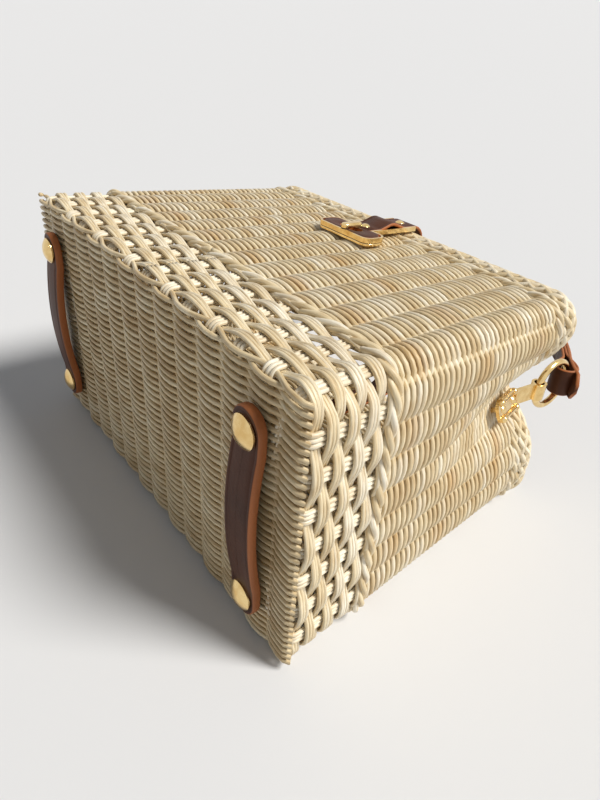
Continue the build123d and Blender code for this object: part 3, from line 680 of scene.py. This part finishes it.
def closing_strap(material):
    """Strap from the clasp over the rim to its tail inside the back, and its head in the tray."""
    corner_height = (STRAP_CROSSING - STRAP_LINE * math.sin(TAPER)) / math.cos(TAPER)
    route = [front_point(CLASP_HEIGHT + TEE_DEPTH / 2 - TEE_OVERLAP, STRAP_LINE + STRAP_LIFT)]
    route += [front_point(height, STRAP_LINE + rise) for height, rise in ARCH]
    route += [front_point(corner_height, STRAP_LINE)]
    route += [(-(half_depth(STRAP_CROSSING) - STRAP_INSIDE), STRAP_CROSSING)]
    route += [(-(half_depth(STRAP_TAIL) - STRAP_INSIDE), STRAP_TAIL)]
    path = rounded(route, STRAP_CORNER)
    path = place(0.0, path[:, 1], path[:, 0])
    size = (STRAP_WIDTH, STRAP_THICK)
    ribbon("leather_strap", path, -ACROSS, *size, material, "bag", "closing_strap")
    slot = slot_loop(SLOT_LENGTH, SLOT_WIDTH)
    outer = slot_loop(TEE_LENGTH, TEE_DEPTH)
    middle = (slot + outer) / 2
    rings = [(slot, -0.5, 1.0), (slot, 0.4, 1.0), (slot * 1.03, 0.5, 0.0), (middle, 0.5, 0.0)]
    rings += [(outer * 0.97, 0.5, 0.0), (outer, 0.3, 1.0), (outer, -0.5, 1.0)]
    points, edges = [], []
    for loop, share, edge in rings:
        depth, height = front_point(CLASP_HEIGHT + loop[:, 1], STRAP_LINE + share * STRAP_THICK)
        points.append(place(loop[:, 0], height, depth))
        edges += [edge] * len(loop)
    faces = ring_faces(len(rings), len(slot))
    points = np.concatenate(points)
    finish_leather("leather_head", points, faces, edges, material, "bag", "closing_strap")


CROWN_RADIUS = RING_X / math.cos(HANDLE_LEAN)
CROWN_CENTRE = RING_HEIGHT + LOOP_HEIGHT_OVER_RING - CROWN_RADIUS * math.sin(HANDLE_LEAN)


def crown_path(angles, offset):
    """Path along the handle's arc at angles from the right, at an offset outwards."""
    radius = CROWN_RADIUS + offset
    return place(radius * np.cos(angles), CROWN_CENTRE + radius * np.sin(angles), RING_DEPTH)


def handle(material):
    """Outer strap with free ends over the loops, and a thinner strap round each ring."""
    distance = np.linspace(FLAP_START, FLAP_STOP, 14)
    closeness = np.clip(1 - (distance - FLAP_START) / FLAP_REACH, 0, 1)
    flare = HANDLE_OFFSET + FLAP_FLARE * closeness**FLAP_POWER
    right = crown_path(HANDLE_LEAN + distance / CROWN_RADIUS, flare)
    arc_start = HANDLE_LEAN + ARC_START / CROWN_RADIUS
    middle = crown_path(np.linspace(arc_start, math.pi - arc_start, ARC_STEPS), HANDLE_OFFSET)
    left = crown_path(math.pi - HANDLE_LEAN - distance[::-1] / CROWN_RADIUS, flare[::-1])
    path = np.concatenate([right, middle, left])
    size = (HANDLE_WIDTH, HANDLE_THICK)
    ribbon("leather_handle", path, -FRONT, *size, material, "handle", "handle", HANDLE_ROUND)

    distance = np.linspace(LOOP_START, 0.0, LOOP_STEPS)
    closing = np.clip(distance / LOOP_CLOSING, 0, 1)
    eased = LOOP_RADIUS * (0.5 + 0.5 * np.cos(math.pi * closing))
    angles = HANDLE_LEAN + distance / CROWN_RADIUS
    outer = crown_path(angles, np.maximum(eased, LOOP_OUTER))
    inner = crown_path(angles[::-1], np.minimum(-eased[::-1], LOOP_INNER))
    turn = HANDLE_LEAN - np.linspace(0, math.pi, 13)[1:-1]
    round_ring = np.cos(turn)[:, None] * ACROSS + np.sin(turn)[:, None] * UP
    bend = crown_path(HANDLE_LEAN, 0.0) + LOOP_RADIUS * round_ring
    path = np.concatenate([outer, bend, inner])
    mirrored = path - 2 * ((path - BASE) @ ACROSS)[:, None] * ACROSS
    size = (HANDLE_WIDTH - LOOP_NARROWING, LOOP_THICK)
    ribbon("leather_loop_right", path, FRONT, *size, material, "handle", "handle")
    ribbon("leather_loop_left", mirrored, -FRONT, *size, material, "handle", "handle")


make_camera()
bpy.context.scene.view_settings.view_transform = "Standard"
make_floor()
make_world()
make_sun("key", 3.7, (-24, 36, 0), softness=0.35, colour=(1.0, 0.97, 0.92))

cane = cane_material()
leather = leather_material("leather", (0.085, 0.027, 0.011), (0.38, 0.13, 0.045))
gold = gold_material()
slots = {part["node"]: part["material_slot"] for part in frame["record"]["subparts"]}
finishes = {"cane": cane, "leather": leather, "gold": gold}
for node_name, node in frame["nodes"].items():
    node.data.materials.clear()
    node.data.materials.append(finishes[slots[node_name]])

fine_weave("fine_weave_a", cane, 0)
fine_weave("fine_weave_b", cane, 1)
open_band(cane)
ropes(cane)
stake_rods(cane)
bottom_weave(cane)
foot_strap(1, "right", leather)
foot_strap(-1, "left", leather)
closing_strap(leather)
handle(leather)
